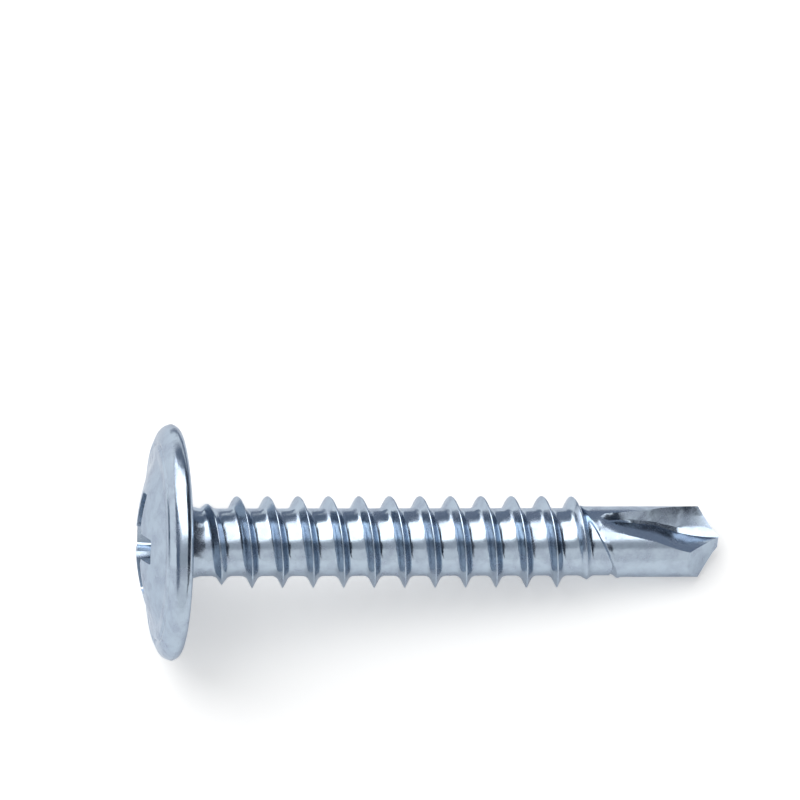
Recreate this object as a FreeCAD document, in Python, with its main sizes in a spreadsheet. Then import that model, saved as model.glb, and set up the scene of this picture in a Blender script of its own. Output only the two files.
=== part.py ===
"""Self drilling screw, No. 8-18 x 1 in (4.2 x 25 mm), modified truss head, No. 2 cross recess.

The real screw is cold formed, thread rolled and pinch pointed from one piece of wire, so it is one body.
It is drawn along its own axis: x = 0 is the bearing face under the head, the head lies on the -X side
and the chisel edge of the drill point is at x = length. Turns about the axis are counted from +Z
towards +Y. Lengths are in millimetres and angles in degrees. The placement then lays the screw down
as it rests, on the rim of its head and astride a flute of its point: rest_tilt and rest_roll are the
two turns that bring the rim and the flute's two front corners into one plane.
"""
import FreeCAD, Part
import os
import Sketcher

SIZES = {
    "length": 25.0,
    "head_diameter": 10.8,
    "head_height": 1.9,
    "rim_chamfer_depth": 0.12,
    "rim_chamfer_reach": 0.23,
    "rim_radius": 0.4,
    "rim_back_turn": 51.0,
    "rim_front_turn": 101.0,
    "shoulder_radius": 0.65,
    "shoulder_turn": 149.0,
    "dome_diameter": 7.4,
    "dome_height": 0.77,
    "flange_slope": 4.0,
    "recess_diameter": 4.65,
    "recess_depth": 2.1,
    "recess_taper": 26.5,
    "recess_turn": 11.0,
    "wing_width": 1.15,
    "wing_draft": 2.5,
    "recess_core_diameter": 2.0,
    "recess_core_draft": 7.0,
    "recess_bottom_angle": 140.0,
    "neck_length": 0.5,
    "neck_flare": 0.4,
    "core_diameter": 3.1,
    "thread_diameter": 4.17,
    "pitch": 1.411,
    "thread_angle": 60.0,
    "thread_seat": 0.1,
    "first_crest": 0.21,
    "run_in_length": 2.1,
    "run_out_length": 1.0,
    "drill_diameter": 3.25,
    "drill_length": 5.7,
    "point_angle": 118.0,
    "relief_angle": 39.0,
    "web_thickness": 0.44,
    "tip_valley_y": 0.1,
    "tip_rake_turn": 79.5,
    "tip_heel_turn": -26.8,
    "ramp_foot_step": 1.1,
    "foot_valley_y": 1.15,
    "foot_valley_z": 0.65,
    "foot_rake_turn": 95.0,
    "foot_heel_turn": -28.0,
    "ramp_top_step": 0.05,
    "top_valley_y": 0.9,
    "top_valley_z": 1.5,
    "top_rake_turn": 85.0,
    "top_heel_turn": -28.0,
    "cut_margin": 0.3,
    "rest_tilt": 10.1842,
    "rest_roll": 26.1391,
}

DERIVED = {
    "core_radius": "core_diameter / 2",
    "thread_radius": "thread_diameter / 2",
    "drill_radius": "drill_diameter / 2",
    "cut_radius": "thread_radius + cut_margin",
    "head_top_x": "-head_height",
    "dome_foot_x": "dome_height - head_height",
    "dome_foot_r": "dome_diameter / 2",
    "rim_centre_r": "head_diameter / 2 - rim_radius",
    "rim_back_r": "rim_centre_r + rim_radius * sin(rim_back_turn)",
    "rim_back_x": "-rim_chamfer_depth",
    "rim_centre_x": "rim_back_x - rim_radius * cos(rim_back_turn)",
    "rim_front_r": "rim_centre_r + rim_radius * sin(rim_front_turn)",
    "rim_front_x": "rim_centre_x + rim_radius * cos(rim_front_turn)",
    "underside_r": "rim_back_r - rim_chamfer_reach",
    "shoulder_r": "rim_front_r + shoulder_radius * (sin(shoulder_turn) - sin(rim_front_turn))",
    "shoulder_x": "rim_front_x + shoulder_radius * (cos(shoulder_turn) - cos(rim_front_turn))",
    "shoulder_slope": "-tan(shoulder_turn)",
    "flange_rise": "tan(flange_slope)",
    "flange_meet": "dome_foot_x - dome_foot_r * flange_rise - shoulder_x + shoulder_r * shoulder_slope",
    "flange_r": "flange_meet / (shoulder_slope - flange_rise)",
    "flange_x": "dome_foot_x + (flange_r - dome_foot_r) * flange_rise",
    "neck_top_r": "core_radius + neck_flare",
    "dome_radius": "(dome_foot_r ^ 2 + dome_height ^ 2) / (2 * dome_height)",
    "recess_edge_x": "head_top_x + dome_radius - sqrt(dome_radius ^ 2 - (recess_diameter / 2) ^ 2)",
    "recess_floor_x": "recess_edge_x + recess_depth",
    "recess_mouth_x": "head_top_x - cut_margin",
    "mouth_rise": "recess_edge_x - recess_mouth_x",
    "wing_mouth_reach": "recess_diameter / 2 + mouth_rise * tan(recess_taper)",
    "wing_floor_reach": "recess_diameter / 2 - recess_depth * tan(recess_taper)",
    "wing_mouth_side": "wing_width / 2 + mouth_rise * tan(wing_draft)",
    "wing_floor_side": "wing_width / 2 - recess_depth * tan(wing_draft)",
    "recess_core_mouth_r": "recess_core_diameter / 2 + mouth_rise * tan(recess_core_draft)",
    "recess_core_floor_r": "recess_core_diameter / 2 - recess_depth * tan(recess_core_draft)",
    "recess_bottom_x": "recess_floor_x + recess_core_floor_r / tan(recess_bottom_angle / 2)",
    "thread_base_r": "core_radius - thread_seat",
    "thread_base_side": "(thread_radius - thread_base_r) * tan(thread_angle / 2)",
    "thread_base_start_x": "first_crest - thread_base_side",
    "thread_base_end_x": "first_crest + thread_base_side",
    "drill_start_x": "length - drill_length",
    "thread_run": "drill_start_x + pitch / 2 - first_crest",
    "trim_overshoot": "(cut_radius - core_radius) / (thread_radius - core_radius)",
    "run_in_trim_start_x": "thread_base_start_x - cut_margin",
    "run_in_trim_end_x": "neck_length + run_in_length * trim_overshoot",
    "run_out_trim_start_x": "drill_start_x - run_out_length * trim_overshoot",
    "run_out_trim_end_x": "first_crest + thread_run + thread_base_side + cut_margin",
    "run_out_trim_r": "thread_base_r - thread_seat",
    "point_clear_x": "length + cut_margin",
    "tip_valley_z": "web_thickness / 2",
    "ramp_foot_x": "drill_start_x + ramp_foot_step",
    "ramp_top_x": "drill_start_x + ramp_top_step",
    "lip_slope": "1 / tan(point_angle / 2)",
    "relief_slope": "tan(relief_angle)",
    "relief_corner_x": "length - cut_radius * sqrt(lip_slope ^ 2 + relief_slope ^ 2)",
    "relief_turn": "atan(lip_slope / relief_slope)",
    "rest_height": "rim_centre_r * cos(rest_tilt) + rim_centre_x * sin(rest_tilt) + rim_radius",
    "rest_front_x": "(head_top_x + dome_radius) * cos(rest_tilt) - dome_radius",
    "rest_shift": "-(length * cos(rest_tilt) + rest_front_x) / 2",
}


def add_sheet(doc):
    """The spreadsheet that every feature reads: the driving sizes, then what follows from them."""
    sheet = doc.addObject("Spreadsheet::Sheet", "sizes")
    cells = [(alias, str(size)) for alias, size in SIZES.items()]
    cells += [(alias, "=" + formula) for alias, formula in DERIVED.items()]
    for row, (alias, text) in enumerate(cells, start=1):
        sheet.set(f"A{row}", alias)
        sheet.set(f"B{row}", text)
        sheet.setAlias(f"B{row}", alias)
    doc.recompute()
    return sheet


def new_sketch(body, name, role, offset=None):
    """A sketch on one of the body's origin planes, with the offsets from it bound to expressions."""
    plane = next(item for item in body.Origin.OriginFeatures if item.Role == role)
    sketch = body.newObject("Sketcher::SketchObject", name)
    sketch.AttachmentSupport = [(plane, "")]
    sketch.MapMode = "FlatFace"
    for path, expression in (offset or {}).items():
        sketch.setExpression(".AttachmentOffset." + path, expression)
    return sketch


def value(sketch, expression):
    """The number that an expression gives now."""
    result = sketch.evalExpression(expression)
    return float(getattr(result, "Value", result))


def hold(sketch, curve, end, across, up):
    """Dimensions one point of a sketch from the sketch's origin; "0" puts it on that axis."""
    for kind, axis, expression in (("DistanceX", -2, across), ("DistanceY", -1, up)):
        if expression == "0":
            sketch.addConstraint(Sketcher.Constraint("PointOnObject", curve, end, axis))
        else:
            size = value(sketch, expression)
            row = sketch.addConstraint(Sketcher.Constraint(kind, -1, 1, curve, end, size))
            sketch.setExpression(f"Constraints[{row}]", expression)


def outline(sketch, corners, radii=None):
    """A closed outline through corners that are given as pairs of expressions.

    The side after a corner is straight. Where radii holds a radius for that corner, it is an arc of
    that radius with its centre on the left of the way round.
    """
    radii = radii or {}
    points = [FreeCAD.Vector(value(sketch, a), value(sketch, b), 0) for a, b in corners]
    count = len(points)
    for index, first in enumerate(points):
        second = points[(index + 1) % count]
        if index not in radii:
            sketch.addGeometry(Part.LineSegment(first, second))
            continue
        radius = value(sketch, radii[index])
        half = (second - first) / 2
        rise = (radius ** 2 - half.Length ** 2) ** 0.5
        centre = first + half + FreeCAD.Vector(-half.y, half.x, 0).normalize() * rise
        circle = Part.Circle(centre, FreeCAD.Vector(0, 0, 1), radius)
        sketch.addGeometry(Part.ArcOfCircle(circle, circle.parameter(first), circle.parameter(second)))
    for index in range(count):
        sketch.addConstraint(Sketcher.Constraint("Coincident", index, 2, (index + 1) % count, 1))
    for index, (across, up) in enumerate(corners):
        hold(sketch, index, 1, across, up)
    for index, expression in radii.items():
        row = sketch.addConstraint(Sketcher.Constraint("Radius", index, value(sketch, expression)))
        sketch.setExpression(f"Constraints[{row}]", expression)


def revolve(body, kind, name, sketch):
    """Turns a section drawn beside the screw's axis into a Revolution or a Groove."""
    feature = body.newObject("PartDesign::" + kind, name)
    feature.Profile = sketch
    feature.ReferenceAxis = (sketch, ["H_Axis"])
    feature.Angle = 360
    return feature


def repeat(body, name, features, angle, count):
    """Repeats features about the screw's axis."""
    feature = body.newObject("PartDesign::PolarPattern", name)
    feature.Originals = features
    axis = next(item for item in body.Origin.OriginFeatures if item.Role == "X_Axis")
    feature.Axis = (axis, [""])
    feature.Angle = angle
    feature.Occurrences = count
    body.Tip = feature
    return feature


def loft(body, name, sketches):
    """Cuts a ruled loft through sketches."""
    feature = body.newObject("PartDesign::SubtractiveLoft", name)
    feature.Profile = sketches[0]
    feature.Sections = sketches[1:]
    feature.Ruled = True
    return feature


def add_core(body):
    """The plain cylinder that the thread is rolled on."""
    sketch = new_sketch(body, "core_section", "XZ_Plane")
    outline(sketch, [
        ("0", "0"),
        ("0", "sizes.core_radius"),
        ("sizes.drill_start_x", "sizes.core_radius"),
        ("sizes.drill_start_x", "0"),
    ])
    revolve(body, "Revolution", "core", sketch)


def add_thread(body):
    """The right-hand spaced thread, which fades in behind the neck and fades out before the point."""
    profile = new_sketch(body, "thread_profile", "XZ_Plane")
    outline(profile, [
        ("sizes.thread_base_start_x", "sizes.thread_base_r"),
        ("sizes.first_crest", "sizes.thread_radius"),
        ("sizes.thread_base_end_x", "sizes.thread_base_r"),
    ])
    thread = body.newObject("PartDesign::AdditiveHelix", "thread")
    thread.Profile = profile
    thread.ReferenceAxis = (profile, ["H_Axis"])
    thread.Mode = "pitch-height-angle"
    thread.LeftHanded = False
    thread.setExpression("Pitch", "sizes.pitch")
    thread.setExpression("Height", "sizes.thread_run")
    run_in = new_sketch(body, "run_in_section", "XZ_Plane")
    outline(run_in, [
        ("sizes.run_in_trim_start_x", "sizes.core_radius"),
        ("sizes.neck_length", "sizes.core_radius"),
        ("sizes.run_in_trim_end_x", "sizes.cut_radius"),
        ("sizes.run_in_trim_start_x", "sizes.cut_radius"),
    ])
    revolve(body, "Groove", "run_in", run_in)
    run_out = new_sketch(body, "run_out_section", "XZ_Plane")
    outline(run_out, [
        ("sizes.run_out_trim_start_x", "sizes.cut_radius"),
        ("sizes.drill_start_x", "sizes.core_radius"),
        ("sizes.drill_start_x", "sizes.run_out_trim_r"),
        ("sizes.run_out_trim_end_x", "sizes.run_out_trim_r"),
        ("sizes.run_out_trim_end_x", "sizes.cut_radius"),
    ])
    revolve(body, "Groove", "run_out", run_out)


def add_head(body):
    """The thin wide head: a shallow dome, a nearly flat flange, and a rounded rim and shoulder."""
    sketch = new_sketch(body, "head_section", "XZ_Plane")
    corners = [
        ("sizes.neck_flare", "0"),
        ("sizes.neck_flare", "sizes.core_radius"),
        ("0", "sizes.neck_top_r"),
        ("0", "sizes.underside_r"),
        ("sizes.rim_back_x", "sizes.rim_back_r"),
        ("sizes.rim_front_x", "sizes.rim_front_r"),
        ("sizes.shoulder_x", "sizes.shoulder_r"),
        ("sizes.flange_x", "sizes.flange_r"),
        ("sizes.dome_foot_x", "sizes.dome_foot_r"),
        ("sizes.head_top_x", "0"),
    ]
    outline(sketch, corners, {
        4: "sizes.rim_radius",
        5: "sizes.shoulder_radius",
        8: "sizes.dome_radius",
    })
    revolve(body, "Revolution", "head", sketch)


def add_recess(body):
    """The cross recess: two tapered bars crossed at right angles over a conical middle."""
    ends = []
    for name in ("mouth", "floor"):
        sketch = new_sketch(body, "wing_" + name, "YZ_Plane", {
            "Base.z": f"sizes.recess_{name}_x",
            "Rotation.Yaw": "sizes.recess_turn",
        })
        side = f"sizes.wing_{name}_side"
        reach = f"sizes.wing_{name}_reach"
        outline(sketch, [
            (side, reach),
            ("-" + side, reach),
            ("-" + side, "-" + reach),
            (side, "-" + reach),
        ])
        ends.append(sketch)
    wing = loft(body, "wing", ends)
    repeat(body, "wings", [wing], 90, 2)
    middle = new_sketch(body, "recess_core_section", "XZ_Plane")
    outline(middle, [
        ("sizes.recess_mouth_x", "0"),
        ("sizes.recess_mouth_x", "sizes.recess_core_mouth_r"),
        ("sizes.recess_floor_x", "sizes.recess_core_floor_r"),
        ("sizes.recess_bottom_x", "0"),
    ])
    revolve(body, "Groove", "recess_core", middle)


def add_point(body):
    """The drill point: a round end with two flutes, each with a ramped run-out, and two relief faces."""
    blank = new_sketch(body, "drill_section", "XZ_Plane")
    outline(blank, [
        ("sizes.drill_start_x", "0"),
        ("sizes.drill_start_x", "sizes.drill_radius"),
        ("sizes.length", "sizes.drill_radius"),
        ("sizes.length", "0"),
    ])
    revolve(body, "Revolution", "drill", blank)
    sections = []
    for name, station in (
        ("tip", "sizes.point_clear_x"),
        ("foot", "sizes.ramp_foot_x"),
        ("top", "sizes.ramp_top_x"),
    ):
        sketch = new_sketch(body, "flute_" + name, "YZ_Plane", {"Base.z": station})
        rake = f"sizes.{name}_rake_turn"
        heel = f"sizes.{name}_heel_turn"
        middle = f"(({rake} + {heel}) / 2)"
        outline(sketch, [
            (f"sizes.{name}_valley_y", f"sizes.{name}_valley_z"),
            (f"sizes.cut_radius * sin({rake})", f"sizes.cut_radius * cos({rake})"),
            (f"2 * sizes.cut_radius * sin{middle}", f"2 * sizes.cut_radius * cos{middle}"),
            (f"sizes.cut_radius * sin({heel})", f"sizes.cut_radius * cos({heel})"),
        ])
        sections.append(sketch)
    flute = loft(body, "flute", sections)
    relief_section = new_sketch(body, "relief_section", "XZ_Plane", {
        "Rotation.Roll": "sizes.relief_turn",
    })
    outline(relief_section, [
        ("sizes.length", "0"),
        ("sizes.relief_corner_x", "sizes.cut_radius"),
        ("sizes.point_clear_x", "sizes.cut_radius"),
        ("sizes.point_clear_x", "0"),
    ])
    relief = body.newObject("PartDesign::Pocket", "relief")
    relief.Profile = relief_section
    relief.Midplane = True
    relief.setExpression("Length", "4 * sizes.cut_radius")
    repeat(body, "flutes", [flute, relief], 360, 2)


def lay_down(body):
    """Lays the screw on z = 0: the head's rim and both corners of the lower flute touch it."""
    body.setExpression(".Placement.Rotation.Roll", "sizes.rest_roll")
    body.setExpression(".Placement.Rotation.Pitch", "sizes.rest_tilt")
    body.setExpression(".Placement.Base.x", "sizes.rest_shift")
    body.setExpression(".Placement.Base.z", "sizes.rest_height")


def write_parts(doc, bodies):
    """Checks every object of the document, then writes each body to a file named by its label."""
    doc.recompute()
    for item in doc.Objects:
        if {"Invalid", "Error"} & set(item.State):
            raise RuntimeError(f"{item.Name} could not be made: {item.State}")
    for body in bodies:
        if body.Shape.isNull() or not body.Shape.isValid() or len(body.Shape.Solids) != 1:
            raise RuntimeError(f"{body.Label} is not one sound solid")
    os.makedirs("parts", exist_ok=True)
    for body in bodies:
        body.Shape.exportStep(f"parts/{body.Label}.step")
        box = body.Shape.BoundBox
        print(body.Label, f"{body.Shape.Volume:.2f} mm3, z from {box.ZMin:.3f} to {box.ZMax:.3f} mm")


def main():
    doc = FreeCAD.newDocument("self_drilling_screw")
    sheet = add_sheet(doc)
    screw = doc.addObject("PartDesign::Body", "screw")
    screw.Label = "screw"
    add_core(screw)
    add_thread(screw)
    add_head(screw)
    add_recess(screw)
    add_point(screw)
    lay_down(screw)
    write_parts(doc, [screw])


main()
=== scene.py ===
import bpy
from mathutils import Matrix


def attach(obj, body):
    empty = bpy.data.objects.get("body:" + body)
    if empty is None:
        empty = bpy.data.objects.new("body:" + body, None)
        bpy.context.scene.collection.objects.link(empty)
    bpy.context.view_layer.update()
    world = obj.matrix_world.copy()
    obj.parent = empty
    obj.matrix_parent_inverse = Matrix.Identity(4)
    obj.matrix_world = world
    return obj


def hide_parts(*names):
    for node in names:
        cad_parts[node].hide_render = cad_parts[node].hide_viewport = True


bl_info = {
    "name": "Self drilling screw",
    "version": (1, 0, 0),
    "blender": (4, 5, 0),
    "location": "3D View > Sidebar > Screw",
    "description": "A zinc plated self drilling screw with a modified truss head, lying on a pale floor",
    "category": "Object",
}

import math

import bmesh
import bpy
from mathutils import Matrix, Vector

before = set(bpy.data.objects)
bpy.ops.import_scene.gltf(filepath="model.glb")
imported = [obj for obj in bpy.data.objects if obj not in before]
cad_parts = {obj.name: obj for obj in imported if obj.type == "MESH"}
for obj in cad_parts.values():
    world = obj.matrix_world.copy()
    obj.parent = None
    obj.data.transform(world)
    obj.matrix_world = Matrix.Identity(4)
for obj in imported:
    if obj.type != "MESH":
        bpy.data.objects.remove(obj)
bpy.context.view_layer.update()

# The screw is modelled along its own axis in millimetres: the bearing face is at x = 0, the head lies on
# the -X side, and turns about the axis are counted from +Z towards +Y. It is laid down at the end.
# The sizes in the classes below are in metres, and all the others are in millimetres and degrees.
MILLIMETRE = 0.001
MAIN_BODY = "root"

# Where the bearing face's centre comes to lie, in metres.
REST_SHIFT = Vector((-0.01129496, 0.0, 0.0052555))

# Head: a foot inside the core, a hollow flare up to the bearing face, the rim, its groove and the dome.
HEAD_STEPS = 192
NECK_SINK = 0.02
NECK_FOOT_X = 1.6
NECK_FOOT_EDGE = (1.5, -0.35)
FLARE_LENGTH = 1.2
FLARE_REACH = 0.42
FLARE_POWER = 1.6
FLARE_STEPS = 12
RIM_FRONT_X = -0.70
RIM_FILLETS = (0.40, 0.60)
GROOVE_CORNERS = (
    # x behind the dome's foot, radius, fillet
    (0.070, 4.64, 0.30),
    (0.150, 4.50, 0.04),
    (0.045, 4.36, 0.10),
)
DOME_FOOT_CORNERS = (
    # x behind the dome's foot, radius past it, fillet
    (0.012, 0.16, 0.12),
    (-0.035, 0.0, 0.25),
)
DOME_BLEND_RADIUS = 3.3
DOME_STEPS = 22

# Thread: rounded roots and crests on a spaced 60 degree form that fades in at the neck and out at the drill.
THREAD_FLANK = 30.0
ROOT_FILLET = 0.32
CREST_HALF_WIDTH = 0.02
CREST_CORNER_RISE = 0.015
CREST_FILLET = 0.045
THREAD_FINENESS = 0.35
FIRST_CREST = 0.21
TURNS = 17
STEPS_PER_TURN = 96
ROD_ENDS = ((-0.7, -1.0), (19.9, 1.0))
FADE_IN_START = 0.45
FADE_IN_LENGTH = 2.1
FADE_OUT_GAP = 0.05
FADE_OUT_LENGTH = 1.1

# Drill point: the round end with its shoulder, the flutes and the relief faces.
POINT_STEPS = 160
POINT_FOOT = (
    # x from the drill's start, radius past the core
    (-0.30, -0.15),
    (-0.02, -0.01),
)
POINT_SHOULDER = (
    # x from the drill's start, radius past the drill
    (0.06, 0.035),
    (0.13, 0.040),
    (0.24, 0.005),
    (0.40, 0.0),
)
POINT_END_X = 25.4
SKEW_REACH = 0.5
SKEW_SHIFT = 0.05
SKEW_SLOPE = 0.52
FLUTE_STATIONS = (
    # x, rake turn, heel turn, grip of the heel side (y, z), corner (y, z)
    (25.3, 90.5, -22.0, (0.02, 0.70), (0.20, 0.12)),
    (24.3, 89.2, -21.0, (0.04, 0.72), (0.26, 0.11)),
    (23.72, 86.5, -19.0, (0.10, 0.77), (0.33, 0.12)),
    (23.35, 83.5, -17.0, (0.16, 0.80), (0.41, -0.06)),
    (23.0, 80.5, -14.0, (0.22, 0.82), (0.50, -0.06)),
    (21.85, 67.0, 0.0, (0.60, 0.98), (0.82, 0.40)),
    (20.9, 60.0, 8.0, (0.70, 1.10), (0.90, 0.60)),
    (20.35, 57.0, 12.0, (0.74, 1.22), (0.94, 0.72)),
    (19.9, 55.0, 14.0, (0.76, 1.34), (0.96, 0.96)),
    (19.5, 52.0, 15.0, (0.77, 1.43), (0.95, 1.22)),
    (19.25, 47.0, 17.0, (0.80, 1.48), (0.92, 1.40)),
)
FLUTE_OVERRUN = 0.9
FLUTE_MOUTH_RADIUS = 3.6
HEEL_STEPS = 12
RAKE_STEPS = 6
RELIEF_BACK = 6.0
RELIEF_AHEAD = 3.0
RELIEF_SIDE = 4.0
RELIEF_OFFSET = 0.008
CHISEL_ACROSS = (0.5958, -0.8031)
RELIEF_ACROSS = (0.60086, -0.80978)

# Cross recess: two drafted bars with tapering ends, and a conical middle.
RECESS_EDGE_X = -1.604
RECESS_DEPTH = 2.1
RECESS_MARGIN = 0.4
RECESS_TAPER = 26.5
WING_DRAFT = 2.5
WING_HALF_WIDTH = 0.575
WING_BEVEL = 0.12
CORE_HOLE_RADIUS = 1.0
CORE_HOLE_DRAFT = 7.0
CORE_HOLE_FLOOR = 70.0
CORE_HOLE_STEPS = 64

# Mesh: how close points are merged, and the angle below which faces are shaded as one curved surface.
MERGE_DISTANCE = 1e-5
SEAM_DISTANCE = 1e-4
SMOOTH_ANGLE = 32.0

# Zinc plating: noises as (scale to the metre, detail), bumps as (strength, distance in metres), and the
# stretches of the patch noise over which colour and roughness change.
GRAIN_NOISE = (9000.0, 3.0)
PATCH_NOISE = (1300.0, 4.0)
PATCH_ROUGHNESS = 0.6
DENT_NOISE = (2400.0, 2.0)
FINE_BUMP = (0.07, 0.00002)
BROAD_BUMP = (0.08, 0.00006)
PATCH_RAMP = (0.36, 0.58)
SHEEN_RAMP = (0.35, 0.65)
SHEEN_SPREAD = (0.08, -0.06)
GRAZING_TINT = (0.70, 0.725, 0.77, 1.0)

# Stage, with its lengths in metres: how brightly the room and then the camera see the floor's glow and
# the world, the softbox, the plain cards that the metal mirrors, and the camera.
FLOOR_SIZE = 0.9
FLOOR_GLOW = (0.0, 0.35)
WORLD_GLOW = (0.50, 1.0)
STAGE_MIDDLE = Vector((0.001, 0.0, 0.003))
LAMP_ACROSS, LAMP_ALONG, LAMP_DISTANCE = 44.0, -24.0, 0.32
LAMP_SIZE = 0.30
LAMP_ENERGY = 0.64
CARDS = (
    # name, degrees up the picture, degrees to its right, distance, width, height, light
    ("card_softbox", 40.5, 2.0, 0.30, 0.54, 0.39, (2.8, 2.8, 2.8)),
    ("card_side", 60.0, -46.0, 0.375, 0.34, 0.325, (2.5, 2.5, 2.55)),
    ("card_overhead", -12.0, -8.0, 0.28, 0.8, 0.13, (0.55, 0.57, 0.60)),
    ("card_back", 91.0, 0.0, 0.40, 1.2, 0.25, (0.16, 0.20, 0.27)),
    ("card_behind", 108.0, 14.0, 0.016, 0.044, 0.0135, (0.26, 0.30, 0.38)),
    ("card_left", -20.0, -76.0, 0.36, 0.34, 0.34, (0.14, 0.18, 0.25)),
    ("card_right", 0.0, 83.0, 0.30, 0.32, 1.6, (0.02, 0.03, 0.05)),
    ("card_edge", 22.0, 48.0, 0.29, 0.085, 0.54, (0.02, 0.03, 0.05)),
    ("card_strip", -9.0, 41.0, 0.27, 0.13, 0.115, (0.02, 0.03, 0.05)),
)
PHOTO_TILT = 8.8202
VIEW_DISTANCE = 0.6
VIEW_WIDTH = 0.03675
VIEW_CENTRE = (-0.0145998, 0.0065)
SENSOR = 36.0
CLIP_START = 0.01
CLIP_END = 10.0


class ScrewShape(bpy.types.PropertyGroup):
    """Sizes of the screw, in metres."""

    length: bpy.props.FloatProperty(
        name="Length", description="From the bearing face to the chisel edge",
        default=0.025, min=0.01, unit="LENGTH", precision=5)
    head_radius: bpy.props.FloatProperty(
        name="Head radius", description="Over the rim of the head",
        default=0.0054, min=0.002, unit="LENGTH", precision=5)
    head_height: bpy.props.FloatProperty(
        name="Head height", description="From the bearing face to the top of the dome",
        default=0.0019, min=0.001, unit="LENGTH", precision=5)
    dome_height: bpy.props.FloatProperty(
        name="Dome height", description="Rise of the dome above the flange",
        default=0.00077, min=0.0, unit="LENGTH", precision=5)
    dome_radius: bpy.props.FloatProperty(
        name="Dome foot radius", description="Where the dome meets the flange",
        default=0.0037, min=0.001, unit="LENGTH", precision=5)
    core_radius: bpy.props.FloatProperty(
        name="Core radius", description="At the root of the thread",
        default=0.00155, min=0.0005, unit="LENGTH", precision=5)
    thread_radius: bpy.props.FloatProperty(
        name="Thread radius", description="Over the crests of the thread",
        default=0.002085, min=0.0005, unit="LENGTH", precision=5)
    pitch: bpy.props.FloatProperty(
        name="Pitch", description="Distance from crest to crest",
        default=0.001411, min=0.0004, unit="LENGTH", precision=6)
    drill_radius: bpy.props.FloatProperty(
        name="Drill radius", description="Over the lands of the drill point",
        default=0.001625, min=0.0005, unit="LENGTH", precision=5)
    drill_start: bpy.props.FloatProperty(
        name="Drill start", description="Where the thread ends and the drill point begins",
        default=0.0193, min=0.005, unit="LENGTH", precision=5)
    recess_radius: bpy.props.FloatProperty(
        name="Recess radius", description="Reach of the cross recess's wings at the dome",
        default=0.002325, min=0.0005, unit="LENGTH", precision=5)
    recess_turn: bpy.props.FloatProperty(
        name="Recess turn", description="Turn of the cross recess about the screw's axis",
        default=math.radians(11.0), subtype="ANGLE")
    rest_tilt: bpy.props.FloatProperty(
        name="Rest tilt", description="How far the axis slopes down to the point as the screw lies",
        default=math.radians(10.1842), subtype="ANGLE")
    rest_roll: bpy.props.FloatProperty(
        name="Rest roll", description="How far the screw is rolled so that it stands astride a flute",
        default=math.radians(26.1391), subtype="ANGLE")


class ScrewFinish(bpy.types.PropertyGroup):
    """Colours of the zinc plating and of the floor."""

    zinc: bpy.props.FloatVectorProperty(
        name="Zinc", description="Colour of the plated steel", subtype="COLOR", size=3,
        default=(0.412, 0.49, 0.577), min=0.0, max=1.0)
    zinc_dull: bpy.props.FloatVectorProperty(
        name="Dull zinc", description="Colour of the duller patches of the plating", subtype="COLOR",
        size=3, default=(0.34, 0.40, 0.49), min=0.0, max=1.0)
    floor: bpy.props.FloatVectorProperty(
        name="Floor", description="Colour of the floor", subtype="COLOR", size=3,
        default=(0.88, 0.88, 0.875), min=0.0, max=1.0)
    roughness: bpy.props.FloatProperty(
        name="Roughness", description="Middle roughness of the plating",
        default=0.21, min=0.0, max=1.0, subtype="FACTOR")


def settle():
    """Leaves edit mode and deselects everything."""
    if bpy.context.object and bpy.context.object.mode != "OBJECT":
        bpy.ops.object.mode_set(mode="OBJECT")
    bpy.ops.object.select_all(action="DESELECT")


def pick(piece):
    """Selects one object and makes it the active one."""
    settle()
    piece.select_set(True)
    bpy.context.view_layer.objects.active = piece


def draw_line(name, points):
    """A new object in edit mode that holds one line, drawn point by point."""
    settle()
    bpy.ops.mesh.primitive_plane_add(size=0.1, location=(0.0, 0.0, 0.0))
    piece = bpy.context.object
    piece.name = name
    bpy.ops.object.mode_set(mode="EDIT")
    bpy.ops.mesh.select_all(action="SELECT")
    bpy.ops.mesh.merge(type="CENTER")
    bpy.ops.transform.translate(value=points[0])
    for here, there in zip(points, points[1:]):
        step = [b - a for a, b in zip(here, there)]
        bpy.ops.mesh.extrude_vertices_move(TRANSFORM_OT_translate={"value": step})
    return piece


def merge_all(distance):
    """Selects the whole mesh in edit mode and merges points that lie closer than a distance."""
    bpy.ops.mesh.select_all(action="SELECT")
    bpy.ops.mesh.remove_doubles(threshold=distance)


def close_mesh():
    """Merges doubles and turns the faces outwards, then leaves edit mode."""
    merge_all(MERGE_DISTANCE)
    bpy.ops.mesh.normals_make_consistent(inside=False)
    if bmesh.from_edit_mesh(bpy.context.object.data).calc_volume(signed=True) < 0.0:
        bpy.ops.mesh.flip_normals()
    bpy.ops.object.mode_set(mode="OBJECT")


def turned(name, section, steps):
    """A solid turned about the X axis from a section of (x, radius) pairs that starts and ends on it."""
    piece = draw_line(name, [(x, 0.0, radius) for x, radius in section])
    bpy.ops.mesh.select_all(action="SELECT")
    bpy.ops.mesh.spin(steps=steps, angle=math.tau, center=(0.0, 0.0, 0.0), axis=(1.0, 0.0, 0.0))
    close_mesh()
    return piece


def rounded(corners, fineness=0.08):
    """Points along a chain of (x, radius, fillet) corners, with an arc at each corner that has a fillet."""
    points = []
    last = len(corners) - 1
    for index, (x, radius, fillet) in enumerate(corners):
        corner = Vector((x, radius))
        if fillet <= 0.0 or index in (0, last):
            points.append((x, radius))
            continue
        before = (Vector(corners[index - 1][:2]) - corner).normalized()
        after = (Vector(corners[index + 1][:2]) - corner).normalized()
        half = before.angle(after) / 2
        centre = corner + (before + after).normalized() * fillet / math.sin(half)
        start = corner + before * fillet / math.tan(half) - centre
        end = corner + after * fillet / math.tan(half) - centre
        sweep = start.angle_signed(end)
        count = max(2, math.ceil(abs(sweep) / fineness))
        for step in range(count + 1):
            turn = -sweep * step / count
            points.append(tuple(centre + Matrix.Rotation(turn, 2) @ start))
    return points


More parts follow.
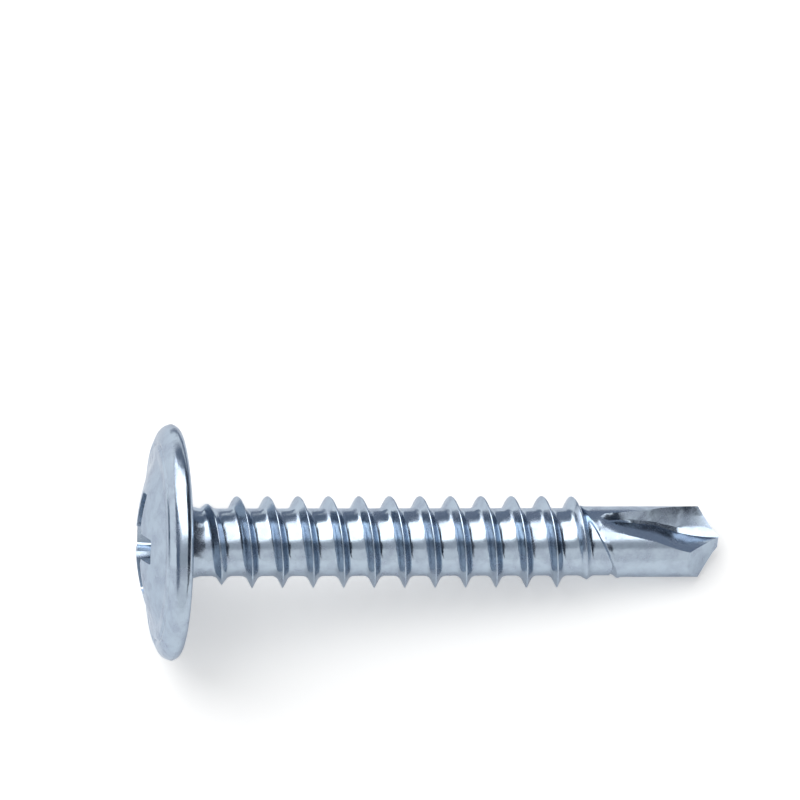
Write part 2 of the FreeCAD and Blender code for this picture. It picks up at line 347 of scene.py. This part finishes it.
def bake_modifier(piece, kind, **settings):
    """Adds a modifier, sets it and applies it."""
    pick(piece)
    modifier = piece.modifiers.new(kind.title(), kind)
    for key, setting in settings.items():
        setattr(modifier, key, setting)
    bpy.ops.object.modifier_apply(modifier=modifier.name)


def combine(piece, tool, operation):
    """Joins a closed tool to a closed piece or cuts it out, and drops the tool."""
    bake_modifier(piece, "BOOLEAN", operation=operation, solver="MANIFOLD", object=tool)
    mesh = tool.data
    bpy.data.objects.remove(tool)
    bpy.data.meshes.remove(mesh)


def head_section(shape):
    """Section of the head: neck, flat bearing face, rounded rim, shoulder, flange and shallow dome."""
    unit = 1 / MILLIMETRE
    outer = shape.head_radius * unit
    foot = shape.dome_radius * unit
    top_x = -shape.head_height * unit
    rise = shape.dome_height * unit
    root = shape.core_radius * unit - NECK_SINK
    ball = (foot * foot + rise * rise) / (2 * rise)
    foot_x = top_x + rise
    flare = []
    for step in range(FLARE_STEPS):
        share = step / FLARE_STEPS
        flare.append((FLARE_LENGTH * (1 - share), root + FLARE_REACH * share ** FLARE_POWER, 0.0))
    section = rounded([
        (NECK_FOOT_X, 0.0, 0.0),
        (NECK_FOOT_EDGE[0], root + NECK_FOOT_EDGE[1], 0.0),
        *flare,
        (0.0, root + FLARE_REACH, 0.0),
        (0.0, outer, RIM_FILLETS[0]),
        (RIM_FRONT_X, outer, RIM_FILLETS[1]),
        *[(foot_x + x, radius, fillet) for x, radius, fillet in GROOVE_CORNERS],
        *[(foot_x + x, foot + reach, fillet) for x, reach, fillet in DOME_FOOT_CORNERS],
        (top_x + ball - math.sqrt(ball * ball - DOME_BLEND_RADIUS ** 2), DOME_BLEND_RADIUS, 0.0),
    ])
    for step in range(1, DOME_STEPS + 1):
        radius = DOME_BLEND_RADIUS * (1 - step / DOME_STEPS)
        section.append((top_x + ball - math.sqrt(ball * ball - radius * radius), radius))
    return section


def thread_section(shape):
    """One pitch of the thread from root to root, as (x from the crest, radius) pairs."""
    unit = 1 / MILLIMETRE
    core = shape.core_radius * unit
    crest = shape.thread_radius * unit
    half_pitch = shape.pitch * unit / 2
    flank = (crest - core) * math.tan(math.radians(THREAD_FLANK))
    corners = [
        (-half_pitch, core, 0.0),
        (-flank, core, ROOT_FILLET),
        (-CREST_HALF_WIDTH, crest + CREST_CORNER_RISE, CREST_FILLET),
        (CREST_HALF_WIDTH, crest + CREST_CORNER_RISE, CREST_FILLET),
        (flank, core, ROOT_FILLET),
        (half_pitch, core, 0.0),
    ]
    return rounded(corners, THREAD_FINENESS)


def make_rod(shape):
    """The threaded rod: one pitch of the thread wound into a closed rod, whose crest fades at both ends."""
    pitch = shape.pitch / MILLIMETRE
    start = FIRST_CREST - 2 * pitch
    section = thread_section(shape)
    piece = draw_line("rod", [(start + x, 0.0, radius) for x, radius in section])
    bpy.ops.object.mode_set(mode="OBJECT")
    bake_modifier(piece, "SCREW", axis="X", angle=math.tau, screw_offset=pitch, iterations=TURNS,
                  steps=STEPS_PER_TURN, render_steps=STEPS_PER_TURN, use_merge_vertices=False)
    bpy.ops.object.mode_set(mode="EDIT")
    merge_all(SEAM_DISTANCE)
    for end, direction in ROD_ENDS:
        bpy.ops.mesh.select_all(action="SELECT")
        bpy.ops.mesh.bisect(plane_co=(end, 0.0, 0.0), plane_no=(direction, 0.0, 0.0), clear_outer=True)
        merge_all(SEAM_DISTANCE)
        form = bmesh.from_edit_mesh(piece.data)
        for edge in form.edges:
            at_end = abs(edge.verts[0].co.x - end) < SEAM_DISTANCE
            edge.select = len(edge.link_faces) == 1 and at_end
        bpy.ops.mesh.edge_face_add()
    close_mesh()
    core = shape.core_radius / MILLIMETRE
    last = shape.drill_start / MILLIMETRE
    for point in piece.data.vertices:
        risen = (point.co.x - FADE_IN_START) / FADE_IN_LENGTH
        left = (last - FADE_OUT_GAP - point.co.x) / FADE_OUT_LENGTH
        height = max(min(risen, left, 1.0), 0.0)
        radius = math.hypot(point.co.y, point.co.z)
        share = (core + (radius - core) * height) / radius
        point.co.y *= share
        point.co.z *= share
    return piece


def make_point(shape):
    """The round end for the drill point, whose burred shoulder runs askew across the core."""
    core = shape.core_radius / MILLIMETRE
    drill = shape.drill_radius / MILLIMETRE
    start = shape.drill_start / MILLIMETRE
    piece = turned("point", [
        (start + POINT_FOOT[0][0], 0.0),
        *[(start + x, core + reach) for x, reach in POINT_FOOT],
        *[(start + x, drill + reach) for x, reach in POINT_SHOULDER],
        (POINT_END_X, drill),
        (POINT_END_X, 0.0),
    ], POINT_STEPS)
    for point in piece.data.vertices:
        if point.co.x < start + SKEW_REACH:
            point.co.x += SKEW_SHIFT - SKEW_SLOPE * point.co.y
    return piece


def spoke(turn, radius):
    """The point across the axis at a turn from +Z towards +Y and a radius, as a (y, z) vector."""
    return Vector((radius * math.sin(math.radians(turn)), radius * math.cos(math.radians(turn))))


def flute_outline(rake_turn, heel_turn, heel_pull, corner, edge_radius):
    """Outline of a flute across the axis: a curved heel side, a tight corner and a straight rake side."""
    heel = spoke(heel_turn, edge_radius)
    rake = spoke(rake_turn, edge_radius)
    grip = Vector(heel_pull)
    foot = Vector(corner)
    beyond_heel = heel + (heel - grip).normalized() * FLUTE_OVERRUN
    beyond_rake = rake + (rake - foot).normalized() * FLUTE_OVERRUN
    points = [spoke((rake_turn + heel_turn) / 2, FLUTE_MOUTH_RADIUS), beyond_heel]
    for step in range(HEEL_STEPS):
        share = step / HEEL_STEPS
        rest = 1 - share
        points.append(heel * rest ** 2 + grip * 2 * share * rest + foot * share ** 2)
    for step in range(1, RAKE_STEPS + 1):
        points.append(foot.lerp(rake, step / RAKE_STEPS))
    points.append(beyond_rake)
    return points


def close_line():
    """Closes the line in edit mode with an edge from its last point to its first."""
    form = bmesh.from_edit_mesh(bpy.context.object.data)
    for point in form.verts:
        point.select = len(point.link_edges) == 1
    form.select_flush_mode()
    bpy.ops.mesh.edge_face_add()


def loft(name, loops):
    """A closed solid bridged through closed loops of points, with the same number of points in each."""
    pieces = []
    for points in loops:
        pieces.append(draw_line(name, points))
        close_line()
        bpy.ops.object.mode_set(mode="OBJECT")
    settle()
    for piece in pieces:
        piece.select_set(True)
    bpy.context.view_layer.objects.active = pieces[0]
    bpy.ops.object.join()
    bpy.ops.object.mode_set(mode="EDIT")
    bpy.ops.mesh.select_all(action="SELECT")
    bpy.ops.mesh.bridge_edge_loops()
    bpy.ops.mesh.select_all(action="DESELECT")
    bpy.ops.mesh.select_non_manifold()
    bpy.ops.mesh.edge_face_add()
    close_mesh()
    return pieces[0]


def block(name, low, high):
    """A box between two corners, left in edit mode."""
    settle()
    middle = [(a + b) / 2 for a, b in zip(low, high)]
    bpy.ops.mesh.primitive_cube_add(size=1.0, location=middle)
    piece = bpy.context.object
    piece.name = name
    piece.scale = [b - a for a, b in zip(low, high)]
    bpy.ops.object.transform_apply(location=True, rotation=True, scale=True)
    bpy.ops.object.mode_set(mode="EDIT")
    return piece


def trim(spot, direction):
    """Cuts away the side of the mesh in edit mode that a plane's direction points to, and closes the cut."""
    bpy.ops.mesh.select_all(action="SELECT")
    bpy.ops.mesh.bisect(plane_co=spot, plane_no=direction, use_fill=True, clear_outer=True)


def cut_flutes(piece, shape):
    """Cuts the two flutes of the drill point."""
    edge_radius = shape.drill_radius / MILLIMETRE
    for half_turn in (0.0, math.pi):
        spin = Matrix.Rotation(half_turn, 4, "X")
        loops = []
        for x, rake_turn, heel_turn, heel_pull, corner in FLUTE_STATIONS:
            outline = flute_outline(rake_turn, heel_turn, heel_pull, corner, edge_radius)
            loops.append([spin @ Vector((x, across, up)) for across, up in outline])
        combine(piece, loft("flute_cutter", loops), "DIFFERENCE")


def cut_reliefs(piece, shape):
    """Cuts the two relief faces that leave the chisel edge and the cutting lips."""
    end = shape.length / MILLIMETRE
    for side in (1.0, -1.0):
        low = (end - RELIEF_BACK, -RELIEF_SIDE, -RELIEF_SIDE)
        cutter = block("relief_cutter", low, (end + RELIEF_AHEAD, RELIEF_SIDE, RELIEF_SIDE))
        spot = (end, RELIEF_OFFSET * side, -RELIEF_OFFSET * side)
        trim(spot, (0.0, CHISEL_ACROSS[0] * side, CHISEL_ACROSS[1] * side))
        trim((end, 0.0, 0.0), (-1.0, RELIEF_ACROSS[0] * side, RELIEF_ACROSS[1] * side))
        close_mesh()
        combine(piece, cutter, "DIFFERENCE")


def cut_recess(piece, shape):
    """Cuts the cross recess: two tapered bars and a conical middle."""
    reach = shape.recess_radius / MILLIMETRE
    mouth = RECESS_EDGE_X - RECESS_MARGIN
    floor = RECESS_EDGE_X + RECESS_DEPTH
    taper = math.tan(math.radians(RECESS_TAPER))
    draft = math.tan(math.radians(WING_DRAFT))
    wide = (reach + RECESS_MARGIN * taper, WING_HALF_WIDTH + RECESS_MARGIN * draft)
    narrow = (reach - RECESS_DEPTH * taper, WING_HALF_WIDTH - RECESS_DEPTH * draft)
    for quarter in range(2):
        cutter = block("wing_cutter", (mouth, -wide[1], -wide[0]), (floor, wide[1], wide[0]))
        form = bmesh.from_edit_mesh(cutter.data)
        for point in form.verts:
            point.select = point.co.x > (mouth + floor) / 2
        form.select_flush_mode()
        bpy.ops.transform.resize(value=(1.0, narrow[1] / wide[1], narrow[0] / wide[0]))
        form = bmesh.from_edit_mesh(cutter.data)
        for edge in form.edges:
            edge.select = abs(edge.verts[0].co.x - edge.verts[1].co.x) > RECESS_DEPTH / 2
        bpy.ops.mesh.bevel(offset=WING_BEVEL, segments=3, affect="EDGES")
        close_mesh()
        pick(cutter)
        cutter.rotation_euler = (shape.recess_turn + quarter * math.pi / 2, 0.0, 0.0)
        bpy.ops.object.transform_apply(location=True, rotation=True, scale=True)
        combine(piece, cutter, "DIFFERENCE")
    core_draft = math.tan(math.radians(CORE_HOLE_DRAFT))
    floor_radius = CORE_HOLE_RADIUS - RECESS_DEPTH * core_draft
    section = [
        (mouth, 0.0),
        (mouth, CORE_HOLE_RADIUS + RECESS_MARGIN * core_draft),
        (floor, floor_radius),
        (floor + floor_radius / math.tan(math.radians(CORE_HOLE_FLOOR)), 0.0),
    ]
    combine(piece, turned("recess_core_cutter", section, CORE_HOLE_STEPS), "DIFFERENCE")


def lay_down(piece, shape):
    """Scales the finished piece to metres and lays it on the floor as it rests."""
    pick(piece)
    tilt = Matrix.Rotation(shape.rest_tilt, 4, "Y")
    roll = Matrix.Rotation(shape.rest_roll, 4, "X")
    piece.matrix_world = Matrix.Translation(REST_SHIFT) @ tilt @ roll @ Matrix.Scale(MILLIMETRE, 4)
    bpy.ops.object.transform_apply(location=True, rotation=True, scale=True)


def link(tree, source, output, target, socket):
    """Joins two nodes' sockets, each given by name or by number."""
    tree.links.new(source.outputs[output], target.inputs[socket])


def add_noise(tree, place, settings):
    """A noise texture over the object's own coordinates."""
    scale, detail = settings
    noise = tree.nodes.new("ShaderNodeTexNoise")
    noise.inputs["Scale"].default_value = scale
    noise.inputs["Detail"].default_value = detail
    link(tree, place, "Object", noise, "Vector")
    return noise


def add_bump(tree, noise, settings):
    """A bump that a noise raises."""
    strength, distance = settings
    bump = tree.nodes.new("ShaderNodeBump")
    bump.inputs["Strength"].default_value = strength
    bump.inputs["Distance"].default_value = distance
    link(tree, noise, "Fac", bump, "Height")
    return bump


def zinc_material(finish):
    """Bright zinc plating: a mottled sheen, a fine grain and a few duller patches."""
    material = bpy.data.materials.new("zinc_plating")
    material.use_nodes = True
    tree = material.node_tree
    shader = tree.nodes["Principled BSDF"]
    shader.inputs["Metallic"].default_value = 1.0
    shader.inputs["Specular Tint"].default_value = GRAZING_TINT
    place = tree.nodes.new("ShaderNodeTexCoord")
    grain = add_noise(tree, place, GRAIN_NOISE)
    patch = add_noise(tree, place, PATCH_NOISE)
    patch.inputs["Roughness"].default_value = PATCH_ROUGHNESS
    dent = add_noise(tree, place, DENT_NOISE)
    colour = tree.nodes.new("ShaderNodeValToRGB")
    dull, bright = colour.color_ramp.elements
    dull.position, bright.position = PATCH_RAMP
    dull.color = (*finish.zinc_dull, 1.0)
    bright.color = (*finish.zinc, 1.0)
    link(tree, patch, "Fac", colour, "Fac")
    link(tree, colour, "Color", shader, "Base Color")
    rough = tree.nodes.new("ShaderNodeMapRange")
    rough.inputs["From Min"].default_value = SHEEN_RAMP[0]
    rough.inputs["From Max"].default_value = SHEEN_RAMP[1]
    rough.inputs["To Min"].default_value = finish.roughness + SHEEN_SPREAD[0]
    rough.inputs["To Max"].default_value = finish.roughness + SHEEN_SPREAD[1]
    link(tree, patch, "Fac", rough, "Value")
    link(tree, rough, "Result", shader, "Roughness")
    fine = add_bump(tree, grain, FINE_BUMP)
    broad = add_bump(tree, dent, BROAD_BUMP)
    link(tree, fine, "Normal", broad, "Normal")
    link(tree, broad, "Normal", shader, "Normal")
    return material


class SCREW_OT_screw(bpy.types.Operator):
    """Builds the screw: head, thread, drill point and cross recess in one piece"""

    bl_idname = "screw.build_screw"
    bl_label = "Screw"

    def execute(self, context):
        shape = context.scene.screw_shape
        screw = make_rod(shape)
        combine(screw, turned("head", head_section(shape), HEAD_STEPS), "UNION")
        combine(screw, make_point(shape), "UNION")
        cut_recess(screw, shape)
        cut_flutes(screw, shape)
        cut_reliefs(screw, shape)
        screw.name = "screw_finished"
        screw.data.name = "screw_finished"
        lay_down(screw, shape)
        pick(screw)
        bpy.ops.object.shade_smooth_by_angle(angle=math.radians(SMOOTH_ANGLE))
        screw.data.materials.clear()
        screw.data.materials.append(zinc_material(context.scene.screw_finish))
        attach(screw, MAIN_BODY)
        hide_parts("screw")
        return {"FINISHED"}


def show_white(tree, shader, glow):
    """Sets a shader's strength: how bright the room sees it, and how bright the camera and mirrors do."""
    path = tree.nodes.new("ShaderNodeLightPath")
    either = tree.nodes.new("ShaderNodeMath")
    either.operation = "MAXIMUM"
    link(tree, path, "Is Camera Ray", either, 0)
    link(tree, path, "Is Glossy Ray", either, 1)
    both = tree.nodes.new("ShaderNodeMath")
    both.operation = "MAXIMUM"
    link(tree, either, 0, both, 0)
    link(tree, path, "Is Transmission Ray", both, 1)
    strength = tree.nodes.new("ShaderNodeMapRange")
    strength.inputs["To Min"].default_value = glow[0]
    strength.inputs["To Max"].default_value = glow[1]
    link(tree, both, 0, strength, "Value")
    link(tree, strength, "Result", shader, "Strength")


def bare_material(name):
    """A new material whose tree holds only its output."""
    material = bpy.data.materials.new(name)
    material.use_nodes = True
    tree = material.node_tree
    tree.nodes.clear()
    return material, tree, tree.nodes.new("ShaderNodeOutputMaterial")


def add_floor(finish):
    """The pale floor, which keeps the screw's shadow."""
    settle()
    bpy.ops.mesh.primitive_plane_add(size=FLOOR_SIZE, location=(0.0, 0.0, 0.0))
    floor = bpy.context.object
    floor.name = "floor"
    material, tree, out = bare_material("floor_white")
    total = tree.nodes.new("ShaderNodeAddShader")
    matt = tree.nodes.new("ShaderNodeBsdfDiffuse")
    matt.inputs["Color"].default_value = (*finish.floor, 1.0)
    glow = tree.nodes.new("ShaderNodeEmission")
    glow.inputs["Color"].default_value = (1.0, 1.0, 1.0, 1.0)
    show_white(tree, glow, FLOOR_GLOW)
    link(tree, matt, 0, total, 0)
    link(tree, glow, 0, total, 1)
    link(tree, total, 0, out, "Surface")
    floor.data.materials.append(material)


def add_card(name, centre, up, width, height, shade):
    """A plain card that the metal mirrors and the camera doesn't see, with its height along up."""
    settle()
    bpy.ops.mesh.primitive_plane_add(size=1.0, location=(0.0, 0.0, 0.0))
    card = bpy.context.object
    card.name = name
    ahead = (STAGE_MIDDLE - centre).normalized()
    tall = (up - ahead * up.dot(ahead)).normalized()
    facing = Matrix((tall.cross(ahead), tall, ahead)).transposed().to_4x4()
    card.matrix_world = Matrix.Translation(centre) @ facing @ Matrix.Diagonal((width, height, 1.0, 1.0))
    material, tree, out = bare_material(name)
    glow = tree.nodes.new("ShaderNodeEmission")
    glow.inputs["Color"].default_value = (*shade, 1.0)
    glow.inputs["Strength"].default_value = 1.0
    link(tree, glow, 0, out, "Surface")
    card.data.materials.append(material)
    card.visible_camera = False
    card.visible_diffuse = False
    card.visible_shadow = False


def add_lamp(centre):
    """A square softbox that faces the middle of the stage."""
    settle()
    bpy.ops.object.light_add(type="AREA", location=centre)
    lamp = bpy.context.object
    lamp.name = "softbox"
    lamp.data.shape = "RECTANGLE"
    lamp.data.size = LAMP_SIZE
    lamp.data.size_y = LAMP_SIZE
    lamp.data.energy = LAMP_ENERGY
    lamp.rotation_euler = (centre - STAGE_MIDDLE).to_track_quat("Z", "Y").to_euler()


def view_axes(shape):
    """The photograph's right, up and back directions around the resting screw."""
    lay = Matrix.Rotation(shape.rest_tilt, 3, "Y") @ Matrix.Rotation(shape.rest_roll, 3, "X")
    seen = lay @ Matrix.Rotation(-math.radians(PHOTO_TILT), 3, "Y")
    return seen.col[0].copy(), seen.col[1].copy(), seen.col[2].copy()


def add_camera(shape):
    """The camera, square to the screw's side as in the photograph."""
    right, up, back = view_axes(shape)
    tilt = Matrix.Rotation(shape.rest_tilt, 3, "Y")
    tip = REST_SHIFT + tilt @ Vector((shape.length, 0.0, 0.0))
    middle = tip + right * VIEW_CENTRE[0] + up * VIEW_CENTRE[1]
    turn = Matrix((right, up, back)).transposed().to_4x4()
    settle()
    bpy.ops.object.camera_add(location=middle + back * VIEW_DISTANCE, rotation=turn.to_euler())
    camera = bpy.context.object
    camera.data.sensor_width = SENSOR
    camera.data.lens = SENSOR * VIEW_DISTANCE / VIEW_WIDTH
    camera.data.clip_start = CLIP_START
    camera.data.clip_end = CLIP_END
    bpy.context.scene.camera = camera


def around(shape, across, along, distance):
    """A point at two angles from the camera's direction: degrees up the picture, then to its right."""
    right, up, back = view_axes(shape)
    across = math.radians(across)
    along = math.radians(along)
    direction = back * math.cos(across) * math.cos(along) + up * math.sin(across) * math.cos(along)
    direction += right * math.sin(along)
    return direction.normalized() * distance


class SCREW_OT_stage(bpy.types.Operator):
    """Sets the floor, the room's light, the softbox, the cards and the camera"""

    bl_idname = "screw.set_stage"
    bl_label = "Floor, light and camera"

    def execute(self, context):
        shape = context.scene.screw_shape
        add_floor(context.scene.screw_finish)
        world = bpy.data.worlds.new("room")
        context.scene.world = world
        world.use_nodes = True
        background = world.node_tree.nodes["Background"]
        background.inputs["Color"].default_value = (1.0, 1.0, 1.0, 1.0)
        show_white(world.node_tree, background, WORLD_GLOW)
        add_lamp(around(shape, LAMP_ACROSS, LAMP_ALONG, LAMP_DISTANCE))
        picture_up = view_axes(shape)[1]
        for name, across, along, distance, width, height, shade in CARDS:
            centre = around(shape, across, along, distance)
            add_card(name, centre, picture_up, width, height, shade)
        add_camera(shape)
        context.scene.view_settings.view_transform = "Standard"
        return {"FINISHED"}


class SCREW_PT_panel(bpy.types.Panel):
    """Lists the screw's sizes and its builders"""

    bl_label = "Self drilling screw"
    bl_idname = "SCREW_PT_panel"
    bl_space_type = "VIEW_3D"
    bl_region_type = "UI"
    bl_category = "Screw"

    def draw(self, context):
        layout = self.layout
        for settings in (context.scene.screw_shape, context.scene.screw_finish):
            column = layout.column()
            for name in settings.__annotations__:
                column.prop(settings, name)
        layout.operator(SCREW_OT_screw.bl_idname)
        layout.operator(SCREW_OT_stage.bl_idname)


CLASSES = (ScrewShape, ScrewFinish, SCREW_OT_screw, SCREW_OT_stage, SCREW_PT_panel)


def register():
    """Adds the classes and the scene's settings."""
    for item in CLASSES:
        bpy.utils.register_class(item)
    bpy.types.Scene.screw_shape = bpy.props.PointerProperty(type=ScrewShape)
    bpy.types.Scene.screw_finish = bpy.props.PointerProperty(type=ScrewFinish)


def unregister():
    """Takes the settings and the classes away again."""
    del bpy.types.Scene.screw_finish
    del bpy.types.Scene.screw_shape
    for item in reversed(CLASSES):
        bpy.utils.unregister_class(item)


def main():
    """Builds the screw and its stage."""
    register()
    bpy.ops.screw.build_screw()
    bpy.ops.screw.set_stage()


if __name__ == "__main__":
    main()
